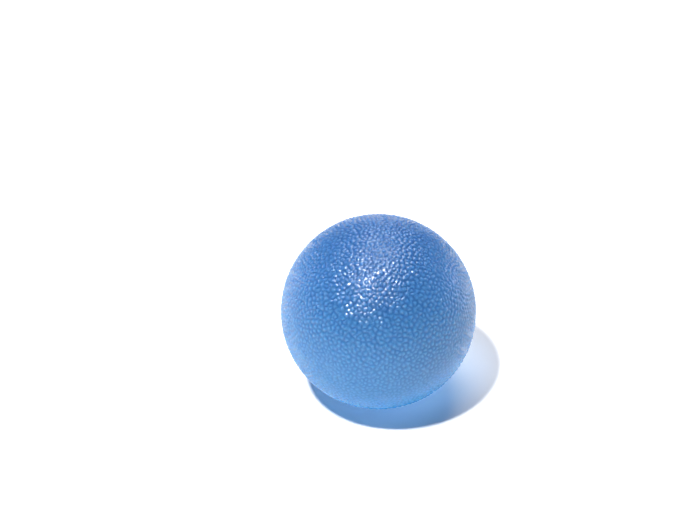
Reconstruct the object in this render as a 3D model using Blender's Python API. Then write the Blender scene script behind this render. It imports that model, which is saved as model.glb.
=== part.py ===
"""A soft gel hand-squeeze ball, standing on a level surface.

A moulded elastomer skin holds a soft gel core, and a small riveted plug closes the hole that the gel
went in through. The skin is modelled as two shells that meet at the ball's widest line, because the
upper one moves down when the ball is squeezed. Metres, +Z up. The origin is the centre of the small
flat patch that the ball's own weight presses into its underside.
"""

import math

import bmesh
import bpy
from mathutils import Vector

# Overall sizes.
BALL_DIAMETER = 0.050
REST_PATCH_DIAMETER = 0.0096
SKIN_WALL = 0.0025

# The plug: a head let into the skin, a stem through the wall and a tapered flange behind it.
PLUG_HEAD_DIAMETER = 0.0076
PLUG_HEAD_DEPTH = 0.0012
PLUG_STEM_DIAMETER = 0.0036
PLUG_FLANGE_DIAMETER = 0.0062
PLUG_FLANGE_THICKNESS = 0.0014
PLUG_TIP_DIAMETER = 0.0030
PLUG_TIP_LENGTH = 0.0016
PLUG_HEADING = math.radians(118)
PLUG_RISE = math.radians(-31)

# Clearance between pieces that touch in the real ball.
PIECE_GAP = 0.0003

# How finely the round shapes are cut.
ROUND_SEGMENTS = 48
ARC_STEP = math.radians(7.5)
PLUG_SEGMENTS = 24
FACE_STEPS = 3
SMOOTH_ANGLE = math.radians(35)
WELD_DISTANCE = 1e-6

BALL_RADIUS = BALL_DIAMETER / 2
REST_PATCH_RADIUS = REST_PATCH_DIAMETER / 2
CENTRE_HEIGHT = math.sqrt(BALL_RADIUS**2 - REST_PATCH_RADIUS**2)
HOLLOW_RADIUS = BALL_RADIUS - SKIN_WALL
CORE_RADIUS = HOLLOW_RADIUS - PIECE_GAP
POLE = math.pi / 2


def clear_scene():
    for obj in list(bpy.data.objects):
        bpy.data.objects.remove(obj, do_unlink=True)


def material(name, colour, roughness, metallic=0.0):
    made = bpy.data.materials.new(name)
    made.use_nodes = True
    shader = made.node_tree.nodes["Principled BSDF"]
    shader.inputs["Base Color"].default_value = (*colour, 1.0)
    shader.inputs["Roughness"].default_value = roughness
    shader.inputs["Metallic"].default_value = metallic
    return made


def rise_at(radius, height):
    """The angle above the ball's centre at which a sphere about that centre reaches a height."""
    return math.asin((height - CENTRE_HEIGHT) / radius)


def ball_arc(radius, start, end):
    """Profile points on a sphere about the ball's centre, between two angles above the centre."""
    steps = max(1, round(abs(end - start) / ARC_STEP))
    angles = [start + (end - start) * i / steps for i in range(steps + 1)]
    return [(radius * math.cos(a), CENTRE_HEIGHT + radius * math.sin(a)) for a in angles]


def turned(name, profile, segments, look):
    """A solid of revolution about local Z from its (radius, height) outline, axis to axis."""
    bm = bmesh.new()
    corners = [bm.verts.new((radius, 0, height)) for radius, height in profile]
    for first, second in zip(corners, corners[1:]):
        bm.edges.new((first, second))
    bmesh.ops.spin(
        bm,
        geom=bm.verts[:] + bm.edges[:],
        cent=(0, 0, 0),
        axis=(0, 0, 1),
        angle=math.tau,
        steps=segments,
        use_merge=True,
    )
    bmesh.ops.remove_doubles(bm, verts=bm.verts, dist=WELD_DISTANCE)
    bmesh.ops.recalc_face_normals(bm, faces=bm.faces)
    mesh = bpy.data.meshes.new(name)
    bm.to_mesh(mesh)
    bm.free()
    mesh.shade_smooth()
    mesh.set_sharp_from_angle(angle=SMOOTH_ANGLE)
    if look:
        mesh.materials.append(look)
    obj = bpy.data.objects.new(name, mesh)
    bpy.context.scene.collection.objects.link(obj)
    return obj


def cut(obj, cutter):
    cutter.hide_render = True
    cutter.display_type = "WIRE"
    boolean = obj.modifiers.new("Cut " + cutter.name, "BOOLEAN")
    boolean.operation = "DIFFERENCE"
    boolean.solver = "EXACT"
    boolean.object = cutter


def along_plug(obj):
    """Turns an object whose local Z is the plug's axis, and whose local origin is the ball's centre."""
    flat = math.cos(PLUG_RISE)
    outward = Vector((
        flat * math.cos(PLUG_HEADING),
        flat * math.sin(PLUG_HEADING),
        math.sin(PLUG_RISE),
    ))
    obj.location = (0, 0, CENTRE_HEIGHT)
    obj.rotation_mode = "QUATERNION"
    obj.rotation_quaternion = outward.to_track_quat("Z", "Y")


def plug_outline(clearance, outer_face):
    """The plug's outline from its tip out to its face, grown by a clearance all round."""
    head_floor = BALL_RADIUS - PLUG_HEAD_DEPTH - clearance
    flange_top = HOLLOW_RADIUS - PIECE_GAP + clearance
    flange_floor = HOLLOW_RADIUS - PIECE_GAP - PLUG_FLANGE_THICKNESS - clearance
    tip_floor = flange_floor - PLUG_TIP_LENGTH
    head_radius = PLUG_HEAD_DIAMETER / 2 + clearance
    stem_radius = PLUG_STEM_DIAMETER / 2 + clearance
    flange_radius = PLUG_FLANGE_DIAMETER / 2 + clearance
    tip_radius = PLUG_TIP_DIAMETER / 2 + clearance
    return [
        (0, tip_floor),
        (tip_radius, tip_floor),
        (flange_radius, flange_floor),
        (flange_radius, flange_top),
        (stem_radius, flange_top),
        (stem_radius, head_floor),
        (head_radius, head_floor),
        *outer_face(head_radius),
    ]


def flush_face(rim_radius):
    """The plug's outer face, on the same sphere as the skin around it."""
    radii = [rim_radius * (1 - i / FACE_STEPS) for i in range(FACE_STEPS + 1)]
    return [(radius, math.sqrt(BALL_RADIUS**2 - radius**2)) for radius in radii]


def clear_of_skin(rim_radius):
    """A cutter's outer end, well outside the ball."""
    beyond = BALL_RADIUS + PLUG_HEAD_DEPTH
    return [(rim_radius, beyond), (0, beyond)]


def skin_lower_half(look, plug_hole):
    seam = CENTRE_HEIGHT - PIECE_GAP / 2
    profile = [
        (0, SKIN_WALL),
        *ball_arc(HOLLOW_RADIUS, rise_at(HOLLOW_RADIUS, SKIN_WALL), rise_at(HOLLOW_RADIUS, seam)),
        *ball_arc(BALL_RADIUS, rise_at(BALL_RADIUS, seam), rise_at(BALL_RADIUS, 0)),
        (0, 0),
    ]
    shell = turned("skin_lower_half", profile, ROUND_SEGMENTS, look)
    cut(shell, plug_hole)


def skin_upper_half(look):
    seam = CENTRE_HEIGHT + PIECE_GAP / 2
    profile = [
        *ball_arc(BALL_RADIUS, POLE, rise_at(BALL_RADIUS, seam)),
        *ball_arc(HOLLOW_RADIUS, rise_at(HOLLOW_RADIUS, seam), POLE),
    ]
    shell = turned("skin_upper_half", profile, ROUND_SEGMENTS, look)
    squeeze_axis = bpy.data.objects.new("squeeze_axis", None)
    squeeze_axis.location = (0, 0, CENTRE_HEIGHT)
    bpy.context.scene.collection.objects.link(squeeze_axis)
    shell.parent = squeeze_axis
    shell.location = (0, 0, -CENTRE_HEIGHT)


def gel_core(look, plug_hole):
    floor = SKIN_WALL + PIECE_GAP
    profile = [(0, floor), *ball_arc(CORE_RADIUS, rise_at(CORE_RADIUS, floor), POLE)]
    core = turned("gel_core", profile, ROUND_SEGMENTS, look)
    cut(core, plug_hole)


def fill_plug(look):
    plug = turned("fill_plug", plug_outline(0, flush_face), PLUG_SEGMENTS, look)
    along_plug(plug)


def plug_hole_cutter():
    outline = plug_outline(PIECE_GAP, clear_of_skin)
    cutter = turned("plug_hole_cutter", outline, PLUG_SEGMENTS, None)
    along_plug(cutter)
    return cutter


def main():
    clear_scene()
    skin_look = material("clear_blue_skin", (0.07, 0.24, 0.62), 0.22)
    core_look = material("clear_blue_gel", (0.10, 0.33, 0.74), 0.10)
    plug_look = material("smooth_blue_plug", (0.08, 0.27, 0.66), 0.16)
    plug_hole = plug_hole_cutter()
    skin_lower_half(skin_look, plug_hole)
    skin_upper_half(skin_look)
    gel_core(core_look, plug_hole)
    fill_plug(plug_look)


main()
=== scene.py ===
"""The looks of a translucent gel squeeze ball with a pebbled skin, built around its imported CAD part.

Everything is in metres, +Z up, in the CAD part's frame: the ball stands at the origin on its rest patch.
"""

import math

import bmesh
import bpy
import numpy as np
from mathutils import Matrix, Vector


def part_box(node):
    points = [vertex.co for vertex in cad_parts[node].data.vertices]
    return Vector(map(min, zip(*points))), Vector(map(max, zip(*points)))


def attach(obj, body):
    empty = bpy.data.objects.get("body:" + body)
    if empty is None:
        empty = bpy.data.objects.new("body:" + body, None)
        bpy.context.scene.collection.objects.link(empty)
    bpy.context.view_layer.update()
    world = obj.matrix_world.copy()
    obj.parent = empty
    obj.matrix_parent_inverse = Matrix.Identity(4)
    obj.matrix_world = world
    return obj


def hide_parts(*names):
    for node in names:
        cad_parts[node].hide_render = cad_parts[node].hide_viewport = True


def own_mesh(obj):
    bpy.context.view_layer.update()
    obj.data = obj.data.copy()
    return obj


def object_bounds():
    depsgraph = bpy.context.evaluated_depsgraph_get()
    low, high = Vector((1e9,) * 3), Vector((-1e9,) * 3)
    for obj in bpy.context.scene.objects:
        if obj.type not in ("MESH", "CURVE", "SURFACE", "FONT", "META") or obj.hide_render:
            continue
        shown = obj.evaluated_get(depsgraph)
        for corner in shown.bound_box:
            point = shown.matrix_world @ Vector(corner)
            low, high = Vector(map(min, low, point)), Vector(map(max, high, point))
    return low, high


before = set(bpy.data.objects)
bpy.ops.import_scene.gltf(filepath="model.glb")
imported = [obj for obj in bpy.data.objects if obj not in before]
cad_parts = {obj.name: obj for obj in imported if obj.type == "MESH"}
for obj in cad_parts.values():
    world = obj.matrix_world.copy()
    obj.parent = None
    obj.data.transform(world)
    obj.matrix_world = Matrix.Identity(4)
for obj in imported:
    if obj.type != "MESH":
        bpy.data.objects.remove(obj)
cad_low, cad_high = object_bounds()

# The ball, read from the CAD part.
BALL_RADIUS = (cad_high.x - cad_low.x) / 2
BALL_HEIGHT = cad_high.z
CENTRE = Vector((0, 0, BALL_HEIGHT - BALL_RADIUS))

# The skin's pebbles. The jitter and the shortest side are shares of the mean spacing.
PEBBLE_COUNT = 5400
PEBBLE_JITTER = 0.34
RELAX_ROUNDS = 2
SHORTEST_SIDE = 0.20
GRAIN_DEPTH = 0.00033
GRAIN_SEED = 12

# One pebble's dome. Reaches are shares of the way from its middle to its edge. The flank's height is a
# share of the climb from valley to top, and the crown's a share of the top. Tops and valleys are shares of
# the grain's depth. Roundness goes from 0, the cell's own outline, to 1, a circle.
FLANK_REACH = 0.70
CROWN_REACH = 0.38
FLANK_HEIGHT = 0.28
CROWN_HEIGHT = 0.84
FLANK_UNEVENNESS = 0.10
ROUNDNESS = 0.35
TOP_HEIGHTS = (0.72, 1.0)
VALLEY_HEIGHTS = (0.0, 0.25)

# Valleys that are raised so far that the pebbles on each side run together, and their share.
MERGED_HEIGHTS = (0.50, 0.85)
MERGED_SHARE = 0.26

# The smooth land round the plug: where the grain fades out, in plug radii, and its level in the grain.
LAND_FROM = 1.05
LAND_TO = 1.28
LAND_HEIGHT = 0.72

# How finely turned shapes are cut, and how close their points are before they are joined.
TURNED_SEGMENTS = 96
WELD_DISTANCE = 1e-7

# The plug's recess in the skin. Its corner is a share of its radius. The cutter ends outside the ball.
RECESS_GAP = 0.00012
RECESS_DEPTH = 0.0011
RECESS_CORNER = 0.1
CUTTER_END = 1.1 * BALL_RADIUS

# The plug's visible head. Its back stays clear of the recess's floor, and its rim sits a little low.
CAP_DEPTH = 0.9 * RECESS_DEPTH
CAP_SINK = 0.00002
CAP_ROUNDING = 0.00035
ROUNDING_STEPS = 6
FACE_STEPS = 22
DIMPLE_RADIUS = 0.0011
DIMPLE_DEPTH = 0.00018
DIMPLE_STEEPNESS = 4

GEL_SUBDIVISIONS = 5

# The camera, as a lens on a 36 mm sensor. The ball's place is in frame widths from the middle.
LENS_MM = 95.1
SENSOR_MM = 36.0
CAMERA_RISE = math.radians(34.5)
CAMERA_DISTANCE = 18.9 * BALL_RADIUS
BALL_ACROSS = 0.0406
BALL_BELOW = 0.0833
CLIP_START = 0.01
CLIP_END = 100

# The skin's colour by height, from foot (0) to top (1), which stands in for the light inside the ball.
FOOT_COLOUR = (0.054, 0.308, 0.650)
WAIST_COLOUR = (0.080, 0.268, 0.540)
TOP_COLOUR = (0.048, 0.150, 0.355)
COLOUR_HEIGHTS = (0.22, 0.60, 0.97)

# The grain's painted shade and its gloss, by height in the grain. Painted shade darkens the valleys
# between the pebbles; it is weaker near the foot of the ball, and grows to its full strength between two
# heights on the ball.
VALLEY_SHADE = (0.46, 0.56, 0.68)
CROWN_UNSHADED = (1.0, 1.0, 1.0)
SHADE_HEIGHTS = (0.0, 0.90)
SHADE_AT_FOOT = 0.40
SHADE_FADE = (0.15, 0.60)
CROWN_ROUGHNESS = 0.10
VALLEY_ROUGHNESS = 0.17
GLOSS_HEIGHTS = (0.1, 0.7)
GLOSS_TINT = (0.82, 0.91, 1.0)

# What light does inside the skin and the gel.
SKIN_IOR = 1.52
SCATTER_RADIUS = (0.35, 0.70, 1.00)
SCATTER_SCALE = 0.0015
GEL_SCATTER_SCALE = 0.012

# The skin's fine haze.
HAZE_SCALE = 3000
HAZE_DETAIL = 2
HAZE_DEPTH = 0.00002
HAZE_STRENGTH = 0.5

# How much lamp light each crossing of the skin lets through to the floor, by how far the skin is tilted
# from face on to the light (0) to edge on (1).
LET_THROUGH_FACING = (0.34, 0.48, 0.61)
LET_THROUGH_TILTED = (0.105, 0.175, 0.255)
LET_THROUGH_EDGE = (0.015, 0.03, 0.05)
TILTS = (0.1, 0.5, 0.8)
CLEAR = (1.0, 1.0, 1.0)

# The gel and the floor, each a noise between two colours.
PATCH_RANGE = (0.3, 0.7)
GEL_COLOURS = ((0.04, 0.19, 0.55), (0.07, 0.26, 0.65))
GEL_PATCH_SCALE = 60
GEL_PATCH_DETAIL = 3
GEL_ROUGHNESS = 0.12
FLOOR_COLOURS = ((0.86, 0.86, 0.865), (0.88, 0.88, 0.88))
FLOOR_PATCH_SCALE = 30
FLOOR_PATCH_DETAIL = 4
FLOOR_ROUGHNESS = 0.9
FLOOR_GLOSS = 0.1
FLOOR_SIZE = 160 * BALL_RADIUS

# The lights. Each direction points from the ball towards the light.
WHITE = (1.0, 1.0, 1.0)
KEY_TOWARDS = (-0.27, -0.33, 0.905)
KEY_STRENGTH = 4.3
KEY_WIDTH = math.radians(4)
SOFTBOX_TOWARDS = (0.06, 0.31, 0.95)
SOFTBOX_DISTANCE = 0.6
SOFTBOX_SIZE = (0.36, 0.36)
SOFTBOX_POWER = 2.7
CARD_TOWARDS = (0.045, 0.943, 0.322)
CARD_DISTANCE = 0.8
CARD_SIZE = (0.36, 0.50)
CARD_POWER = 0.6
STRIP_TOWARDS = (0.90, 0.43, 0.16)
STRIP_DISTANCE = 0.8
STRIP_SIZE = (0.08, 0.30)
STRIP_POWER = 1.0
STRIP_COLOUR = (0.70, 0.74, 1.0)

# The surroundings that light the ball, by how far up a direction points, and what the camera sees.
HORIZON_COLOUR = (0.22, 0.23, 0.30)
SKY_COLOUR = (0.056, 0.057, 0.064)
HORIZON_TOP = 0.05
SKY_FROM = 0.25
BACKDROP_COLOUR = (0.86, 0.87, 0.88)

# Mix node sockets for colours, which share their names with the ones for numbers.
MIX_FIRST = 6
MIX_SECOND = 7
MIX_RESULT = 2


# ---------------------------------------------------------------- grain

def unit(vectors):
    return vectors / np.linalg.norm(vectors, axis=-1, keepdims=True)


def pebble_spacing():
    """The mean distance between pebbles on the unit sphere."""
    return math.sqrt(4 * math.pi / PEBBLE_COUNT)


def spiral_points(rng):
    """Unit vectors spread evenly over a sphere along a spiral, each pushed a little at random."""
    step = np.arange(PEBBLE_COUNT) + 0.5
    height = 1 - 2 * step / PEBBLE_COUNT
    turn = math.pi * (1 + math.sqrt(5)) * step
    flat = np.sqrt(1 - height**2)
    points = np.stack([flat * np.cos(turn), flat * np.sin(turn), height], axis=1)
    return unit(points + rng.normal(0, PEBBLE_JITTER * pebble_spacing(), points.shape))


def faces_round(vert):
    """The numbers of the faces round a vertex, in order."""
    first = loop = vert.link_loops[0]
    ring = []
    while True:
        ring.append(loop.face.index)
        loop = loop.link_loop_prev.link_loop_radial_next
        if loop is first:
            return ring


def cells_around(points):
    """The cells of points on the unit sphere: the points that have one, all corners, and the corners of
    each cell in order. A point that sits almost on another has no cell."""
    bm = bmesh.new()
    verts = [bm.verts.new(p) for p in points]
    bmesh.ops.convex_hull(bm, input=verts)
    kept = [i for i, vert in enumerate(verts) if vert.link_loops]
    bm.verts.index_update()
    bm.faces.index_update()
    a, b, c = points[np.array([[vert.index for vert in face.verts] for face in bm.faces]).T]
    corners = unit(np.cross(b - a, c - a))
    rings = [faces_round(verts[i]) for i in kept]
    bm.free()
    return points[kept], corners, rings


def without_short_sides(corners, rings, shortest):
    """Joins corners that are closer than the shortest side, and renumbers the ones that are left."""
    joined = list(range(len(corners)))

    def root(i):
        while joined[i] != i:
            i = joined[i]
        return i

    for ring in rings:
        for a, b in zip(ring, ring[1:] + ring[:1]):
            if np.linalg.norm(corners[a] - corners[b]) < shortest:
                joined[root(a)] = root(b)
    rings = [list(dict.fromkeys(root(i) for i in ring)) for ring in rings]
    used = sorted({i for ring in rings for i in ring})
    number = {old: new for new, old in enumerate(used)}
    return corners[used], [[number[i] for i in ring] for ring in rings]


def relaxed(points):
    """Moves each point to the middle of its cell, a few times, which evens the pebbles out."""
    for _ in range(RELAX_ROUNDS):
        _, corners, rings = cells_around(points)
        points = unit(np.array([corners[ring].mean(axis=0) for ring in rings]))
    return points


class Grain:
    """The grain's surface: directions from the ball's centre, heights from 0 to 1, and triangles."""

    def __init__(self, corners, rng):
        self.rng = rng
        self.corners = corners
        self.directions = [tuple(corner) for corner in corners]
        self.heights = list(rng.uniform(*VALLEY_HEIGHTS, len(corners)))
        self.passes = {}
        self.triangles = []

    def add(self, direction, height):
        self.directions.append(tuple(direction))
        self.heights.append(height)
        return len(self.directions) - 1

    def pass_between(self, a, b):
        """The vertex halfway along the valley between two corners, shared by the cells on each side."""
        key = (min(a, b), max(a, b))
        if key not in self.passes:
            merged = self.rng.random() < MERGED_SHARE
            height = self.rng.uniform(*(MERGED_HEIGHTS if merged else VALLEY_HEIGHTS))
            self.passes[key] = self.add(unit(self.corners[a] + self.corners[b]), height)
        return self.passes[key]

    def flank_round(self, seed, ring, outward, top):
        """The ring of vertices part of the way up a pebble, one for each of its corners."""
        flank = []
        for corner, out in zip(ring, outward):
            valley = self.heights[corner]
            share = FLANK_HEIGHT + self.rng.uniform(-FLANK_UNEVENNESS, FLANK_UNEVENNESS)
            flank.append(self.add(unit(seed + out * FLANK_REACH), valley + (top - valley) * share))
        return flank

    def add_pebble(self, seed, ring):
        """One domed pebble: its edge in the valleys, a ring up its flank, one at its crown, its middle."""
        top = self.rng.uniform(*TOP_HEIGHTS)
        passes = [self.pass_between(a, b) for a, b in zip(ring, ring[1:] + ring[:1])]
        away = self.corners[ring] - seed
        reach = np.linalg.norm(away, axis=1, keepdims=True)
        outward = away / reach * (ROUNDNESS * reach.mean() + (1 - ROUNDNESS) * reach)
        flank = self.flank_round(seed, ring, outward, top)
        crown = [self.add(unit(seed + out * CROWN_REACH), top * CROWN_HEIGHT) for out in outward]
        middle = self.add(seed, top)
        for i, between in enumerate(passes):
            j = (i + 1) % len(ring)
            self.triangles += [
                (ring[i], between, flank[i]),
                (between, flank[j], flank[i]),
                (between, ring[j], flank[j]),
                (flank[i], flank[j], crown[j]),
                (flank[i], crown[j], crown[i]),
                (crown[i], crown[j], middle),
            ]


def pebble_grain():
    """The whole grain, with one domed pebble in each cell."""
    rng = np.random.default_rng(GRAIN_SEED)
    seeds, corners, rings = cells_around(relaxed(spiral_points(rng)))
    corners, rings = without_short_sides(corners, rings, SHORTEST_SIDE * pebble_spacing())
    grain = Grain(corners, rng)
    for seed, ring in zip(seeds, rings):
        grain.add_pebble(seed, ring)
    return grain


# ---------------------------------------------------------------- pieces

def link(name, data):
    obj = bpy.data.objects.new(name, data)
    bpy.context.scene.collection.objects.link(obj)
    return obj


def link_smooth(name, bm):
    mesh = bpy.data.meshes.new(name)
    bm.to_mesh(mesh)
    bm.free()
    mesh.shade_smooth()
    return link(name, mesh)


def mark(obj, name, values):
    """Stores one number on each vertex, for the materials to read."""
    layer = obj.data.attributes.new(name, "FLOAT", "POINT")
    layer.data.foreach_set("value", values.astype(np.float32))


def mark_rise(obj):
    """Stores how high each vertex is at rest, from -1 at the ball's foot to 1 at its top."""
    points = np.empty(len(obj.data.vertices) * 3, np.float32)
    obj.data.vertices.foreach_get("co", points)
    mark(obj, "rise", (points[2::3] - CENTRE.z) / BALL_RADIUS)


def plug_frame():
    """The plug's axis from the ball's centre, and its head's radius, measured on the CAD plug."""
    points = np.array([v.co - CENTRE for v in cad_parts["fill_plug"].data.vertices])
    axis = unit(points.mean(axis=0))
    along = points @ axis
    off_axis = np.linalg.norm(points - np.outer(along, axis), axis=1)
    return Vector(axis), float(off_axis.max())


def smoothstep(value, low, high):
    share = np.clip((value - low) / (high - low), 0, 1)
    return share * share * (3 - 2 * share)


def pebbled_skin(plug_axis, plug_radius):
    grain = pebble_grain()
    directions = np.array(grain.directions)
    from_plug = np.arccos(np.clip(directions @ np.array(plug_axis), -1, 1)) * BALL_RADIUS
    grained = smoothstep(from_plug, plug_radius * LAND_FROM, plug_radius * LAND_TO)
    heights = LAND_HEIGHT + (np.array(grain.heights) - LAND_HEIGHT) * grained
    radii = BALL_RADIUS - GRAIN_DEPTH * (1 - heights)
    points = directions * radii[:, None] + np.array(CENTRE)
    points[:, 2] = np.maximum(points[:, 2], 0)
    mesh = bpy.data.meshes.new("pebbled_skin")
    mesh.from_pydata(points.tolist(), [], grain.triangles)
    mesh.shade_smooth()
    skin = link("pebbled_skin", mesh)
    mark(skin, "grain", heights)
    return skin


def turned(name, profile):
    """A closed solid of revolution about local Z from its (radius, height) outline, axis to axis."""
    bm = bmesh.new()
    corners = [bm.verts.new((radius, 0, height)) for radius, height in profile]
    for first, second in zip(corners, corners[1:]):
        bm.edges.new((first, second))
    bmesh.ops.spin(
        bm,
        geom=bm.verts[:] + bm.edges[:],
        cent=(0, 0, 0),
        axis=(0, 0, 1),
        angle=math.tau,
        steps=TURNED_SEGMENTS,
        use_merge=True,
    )
    bmesh.ops.remove_doubles(bm, verts=bm.verts, dist=WELD_DISTANCE)
    bmesh.ops.recalc_face_normals(bm, faces=bm.faces)
    return link_smooth(name, bm)


def place_on_axis(obj, axis):
    """Turns the object's mesh from local Z to the plug's axis, with its origin at the ball's centre."""
    turn = axis.to_track_quat("Z", "Y").to_matrix().to_4x4()
    turn.translation = CENTRE
    obj.data.transform(turn)


def apply_modifiers(obj):
    graph = bpy.context.evaluated_depsgraph_get()
    mesh = bpy.data.meshes.new_from_object(obj.evaluated_get(graph), depsgraph=graph)
    obj.modifiers.clear()
    obj.data = mesh


def cut_recess(skin, plug_axis, plug_radius):
    rim = plug_radius + RECESS_GAP
    floor = BALL_RADIUS - RECESS_DEPTH
    cutter = turned("recess_cutter", [
        (0, floor),
        (rim * (1 - RECESS_CORNER), floor),
        (rim, floor + rim * RECESS_CORNER),
        (rim, CUTTER_END),
        (0, CUTTER_END),
    ])
    place_on_axis(cutter, plug_axis)
    boolean = skin.modifiers.new("recess", "BOOLEAN")
    boolean.operation = "DIFFERENCE"
    boolean.solver = "EXACT"
    boolean.object = cutter
    apply_modifiers(skin)
    bpy.data.objects.remove(cutter)


def cap_rounding(plug_radius, surface):
    """The outline of the head's rounded rim, from its side to its face."""
    outline = []
    for i in range(ROUNDING_STEPS + 1):
        angle = math.pi / 2 * i / ROUNDING_STEPS
        radius = plug_radius - CAP_ROUNDING * (1 - math.cos(angle))
        base = math.sqrt((surface - CAP_ROUNDING) ** 2 - radius**2)
        outline.append((radius, base + CAP_ROUNDING * math.sin(angle) - CAP_SINK))
    return outline


def cap_face(rim_radius, surface):
    """The outline of the head's face, from its rim to the dimple in its middle."""
    outline = []
    for i in range(1, FACE_STEPS + 1):
        radius = rim_radius * (1 - i / FACE_STEPS)
        dip = DIMPLE_DEPTH * math.exp(-((radius / DIMPLE_RADIUS) ** DIMPLE_STEEPNESS))
        outline.append((radius, math.sqrt(surface**2 - radius**2) - dip))
    return outline


def plug_cap(plug_axis, plug_radius):
    """The plug's visible head: a rounded rim, a flush face and a shallow moulding dimple in the middle."""
    surface = BALL_RADIUS - GRAIN_DEPTH * (1 - LAND_HEIGHT)
    back = surface - CAP_DEPTH
    rounding = cap_rounding(plug_radius, surface)
    face = cap_face(rounding[-1][0], surface)
    cap = turned("plug_cap", [(0, back), (plug_radius, back), *rounding, *face])
    place_on_axis(cap, plug_axis)
    mark(cap, "grain", np.full(len(cap.data.vertices), LAND_HEIGHT))
    return cap


def gel_body():
    """The gel inside the skin, a smooth ball flattened where it rests."""
    low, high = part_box("gel_core")
    bm = bmesh.new()
    bmesh.ops.create_icosphere(bm, subdivisions=GEL_SUBDIVISIONS, radius=(high.x - low.x) / 2)
    for vert in bm.verts:
        vert.co += CENTRE
        vert.co.z = max(vert.co.z, low.z)
    return link_smooth("gel_body", bm)


def flatten(obj, body):
    """Attaches the piece to the named body and gives it a mesh of its own."""
    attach(obj, body)
    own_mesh(obj)


# ---------------------------------------------------------------- materials

def new_material(name):
    material = bpy.data.materials.new(name)
    material.use_nodes = True
    nodes = material.node_tree.nodes
    return material, nodes, material.node_tree.links, nodes["Principled BSDF"]


def noise(nodes, links, scale, detail):
    texture = nodes.new("ShaderNodeTexNoise")
    texture.inputs["Scale"].default_value = scale
    texture.inputs["Detail"].default_value = detail
    links.new(nodes.new("ShaderNodeTexCoord").outputs["Object"], texture.inputs["Vector"])
    return texture.outputs["Fac"]


def ramp(nodes, links, factor, positions, colours):
    made = nodes.new("ShaderNodeValToRGB")
    links.new(factor, made.inputs["Fac"])
    elements = made.color_ramp.elements
    while len(elements) < len(positions):
        elements.new(0.5)
    for element, position, colour in zip(elements, positions, colours):
        element.position = position
        element.color = (*colour, 1)
    return made.outputs["Color"]


def attribute(nodes, name):
    made = nodes.new("ShaderNodeAttribute")
    made.attribute_name = name
    return made.outputs["Fac"]


def mix_colours(nodes, links, factor, first, blend_type="MIX"):
    """A colour mix with its factor and first colour linked."""
    made = nodes.new("ShaderNodeMix")
    made.data_type = "RGBA"
    made.blend_type = blend_type
    links.new(factor, made.inputs["Factor"])
    links.new(first, made.inputs[MIX_FIRST])
    return made


def map_range(nodes, links, value, given, wanted):
    made = nodes.new("ShaderNodeMapRange")
    links.new(value, made.inputs["Value"])
    made.inputs["From Min"].default_value, made.inputs["From Max"].default_value = given
    made.inputs["To Min"].default_value, made.inputs["To Max"].default_value = wanted
    return made.outputs["Result"]


def bump(nodes, links, height, distance, strength):
    made = nodes.new("ShaderNodeBump")
    made.inputs["Distance"].default_value = distance
    made.inputs["Strength"].default_value = strength
    links.new(height, made.inputs["Height"])
    return made.outputs["Normal"]


def scatter(shader, scale):
    shader.inputs["Subsurface Weight"].default_value = 1.0
    shader.inputs["Subsurface Radius"].default_value = SCATTER_RADIUS
    shader.inputs["Subsurface Scale"].default_value = scale


def let_lamps_through(nodes, links, shader):
    """Mixes in a Transparent shader for shadow rays only, so that the ball casts a coloured shadow.
    Returns the shader's colour socket."""
    clear = nodes.new("ShaderNodeBsdfTransparent")
    mix = nodes.new("ShaderNodeMixShader")
    links.new(nodes.new("ShaderNodeLightPath").outputs["Is Shadow Ray"], mix.inputs[0])
    links.new(shader.outputs["BSDF"], mix.inputs[1])
    links.new(clear.outputs["BSDF"], mix.inputs[2])
    links.new(mix.outputs["Shader"], nodes["Material Output"].inputs["Surface"])
    return clear.inputs["Color"]


def skin_colour_and_painted_light(nodes, links, grain):
    rise = map_range(nodes, links, attribute(nodes, "rise"), (-1, 1), (0, 1))
    # Painted light: by height, paler at the foot and darker at the top, in place of the light that gathers
    # in a real translucent ball.
    painted_light_by_height = ramp(nodes, links, rise, COLOUR_HEIGHTS, (FOOT_COLOUR, WAIST_COLOUR, TOP_COLOUR))
    # Painted shade: the valleys between the pebbles are darker than their crowns, less so near the foot.
    valley_shade = ramp(nodes, links, grain, SHADE_HEIGHTS, (VALLEY_SHADE, CROWN_UNSHADED))
    strength = map_range(nodes, links, rise, SHADE_FADE, (SHADE_AT_FOOT, 1.0))
    shaded = mix_colours(nodes, links, strength, painted_light_by_height, "MULTIPLY")
    links.new(valley_shade, shaded.inputs[MIX_SECOND])
    return shaded.outputs[MIX_RESULT]


def skin_material():
    material, nodes, links, shader = new_material("translucent_blue_skin")
    grain = attribute(nodes, "grain")
    links.new(skin_colour_and_painted_light(nodes, links, grain), shader.inputs["Base Color"])
    rough = map_range(nodes, links, grain, GLOSS_HEIGHTS, (VALLEY_ROUGHNESS, CROWN_ROUGHNESS))
    links.new(rough, shader.inputs["Roughness"])
    haze = noise(nodes, links, HAZE_SCALE, HAZE_DETAIL)
    links.new(bump(nodes, links, haze, HAZE_DEPTH, HAZE_STRENGTH), shader.inputs["Normal"])
    scatter(shader, SCATTER_SCALE)
    shader.inputs["IOR"].default_value = SKIN_IOR
    shader.inputs["Specular Tint"].default_value = (*GLOSS_TINT, 1)
    tilt = nodes.new("ShaderNodeLayerWeight").outputs["Facing"]
    tints = (LET_THROUGH_FACING, LET_THROUGH_TILTED, LET_THROUGH_EDGE)
    links.new(ramp(nodes, links, tilt, TILTS, tints), let_lamps_through(nodes, links, shader))
    return material


def gel_material():
    material, nodes, links, shader = new_material("clear_blue_gel")
    patches = noise(nodes, links, GEL_PATCH_SCALE, GEL_PATCH_DETAIL)
    links.new(ramp(nodes, links, patches, PATCH_RANGE, GEL_COLOURS), shader.inputs["Base Color"])
    shader.inputs["Roughness"].default_value = GEL_ROUGHNESS
    scatter(shader, GEL_SCATTER_SCALE)
    let_lamps_through(nodes, links, shader).default_value = (*CLEAR, 1)
    return material


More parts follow.
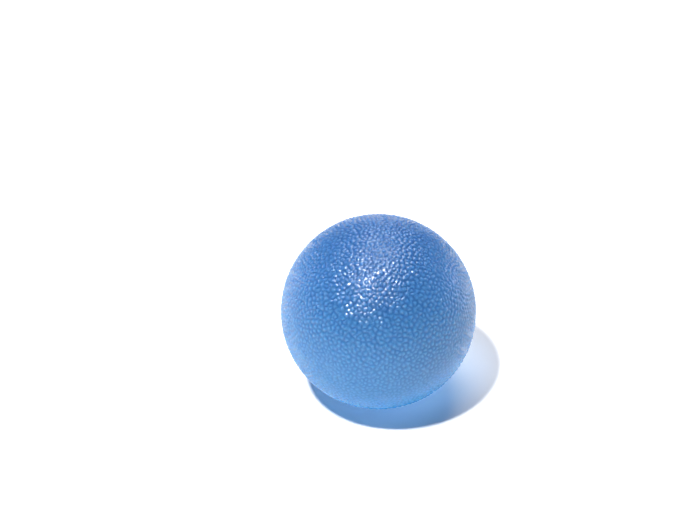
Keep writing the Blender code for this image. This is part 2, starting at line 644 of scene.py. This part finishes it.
def floor_material():
    material, nodes, links, shader = new_material("pale_floor")
    patches = noise(nodes, links, FLOOR_PATCH_SCALE, FLOOR_PATCH_DETAIL)
    links.new(ramp(nodes, links, patches, PATCH_RANGE, FLOOR_COLOURS), shader.inputs["Base Color"])
    shader.inputs["Roughness"].default_value = FLOOR_ROUGHNESS
    shader.inputs["Specular IOR Level"].default_value = FLOOR_GLOSS
    return material


def dress(obj, material):
    obj.data.materials.clear()
    obj.data.materials.append(material)


# ---------------------------------------------------------------- stage

def add_floor():
    bpy.ops.mesh.primitive_plane_add(size=FLOOR_SIZE)
    floor = bpy.context.object
    floor.name = "floor"
    dress(floor, floor_material())


def aim(obj, back):
    """Turns a light or a camera so that its back points along a direction."""
    obj.rotation_mode = "QUATERNION"
    obj.rotation_quaternion = back.to_track_quat("Z", "Y")


def add_sun(name, towards, strength, width):
    light = bpy.data.lights.new(name, "SUN")
    light.energy = strength
    light.angle = width
    aim(link(name, light), Vector(towards))


def add_panel(name, towards, distance, size, power, colour=WHITE):
    """A rectangular panel that faces the ball. The camera doesn't see it."""
    light = bpy.data.lights.new(name, "AREA")
    light.shape = "RECTANGLE"
    light.size, light.size_y = size
    light.energy = power
    light.color = colour
    panel = link(name, light)
    direction = Vector(towards).normalized()
    panel.location = CENTRE + direction * distance
    panel.visible_camera = False
    aim(panel, direction)


def add_lights():
    add_sun("key", KEY_TOWARDS, KEY_STRENGTH, KEY_WIDTH)
    add_panel("softbox", SOFTBOX_TOWARDS, SOFTBOX_DISTANCE, SOFTBOX_SIZE, SOFTBOX_POWER)
    add_panel("back_card", CARD_TOWARDS, CARD_DISTANCE, CARD_SIZE, CARD_POWER)
    across, back, rise = STRIP_TOWARDS
    for name, side in (("right_strip", across), ("left_strip", -across)):
        add_panel(name, (side, back, rise), STRIP_DISTANCE, STRIP_SIZE, STRIP_POWER, STRIP_COLOUR)


def add_world():
    world = bpy.data.worlds.new("studio")
    bpy.context.scene.world = world
    world.use_nodes = True
    nodes, links = world.node_tree.nodes, world.node_tree.links
    towards = nodes.new("ShaderNodeSeparateXYZ")
    links.new(nodes.new("ShaderNodeTexCoord").outputs["Generated"], towards.inputs["Vector"])
    up = towards.outputs["Z"]
    sky = ramp(nodes, links, up, (HORIZON_TOP, SKY_FROM), (HORIZON_COLOUR, SKY_COLOUR))
    seen = mix_colours(nodes, links, nodes.new("ShaderNodeLightPath").outputs["Is Camera Ray"], sky)
    seen.inputs[MIX_SECOND].default_value = (*BACKDROP_COLOUR, 1)
    links.new(seen.outputs[MIX_RESULT], nodes["Background"].inputs["Color"])


def add_camera():
    data = bpy.data.cameras.new("camera")
    data.lens = LENS_MM
    data.sensor_width = SENSOR_MM
    data.clip_start = CLIP_START
    data.clip_end = CLIP_END
    camera = link("camera", data)
    forward = Vector((0, math.cos(CAMERA_RISE), -math.sin(CAMERA_RISE)))
    right = Vector((1, 0, 0))
    up = right.cross(forward)
    width_at_one = SENSOR_MM / LENS_MM
    across = BALL_ACROSS * width_at_one
    below = BALL_BELOW * width_at_one
    to_ball = (forward + right * across - up * below).normalized() * CAMERA_DISTANCE
    camera.location = CENTRE - to_ball
    aim(camera, -forward)
    bpy.context.scene.camera = camera


def add_pieces():
    plug_axis, plug_radius = plug_frame()
    skin = pebbled_skin(plug_axis, plug_radius)
    cut_recess(skin, plug_axis, plug_radius)
    cap = plug_cap(plug_axis, plug_radius)
    gel = gel_body()
    looks = skin_material()
    for obj in (skin, cap):
        mark_rise(obj)
        dress(obj, looks)
    dress(gel, gel_material())
    flatten(skin, "upper_half")
    for obj in (cap, gel):
        flatten(obj, "lower_half")
    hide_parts("skin_lower_half", "skin_upper_half")
    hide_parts("fill_plug")
    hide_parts("gel_core")


def main():
    bpy.context.scene.view_settings.view_transform = "Standard"
    add_pieces()
    add_floor()
    add_lights()
    add_world()
    add_camera()


main()
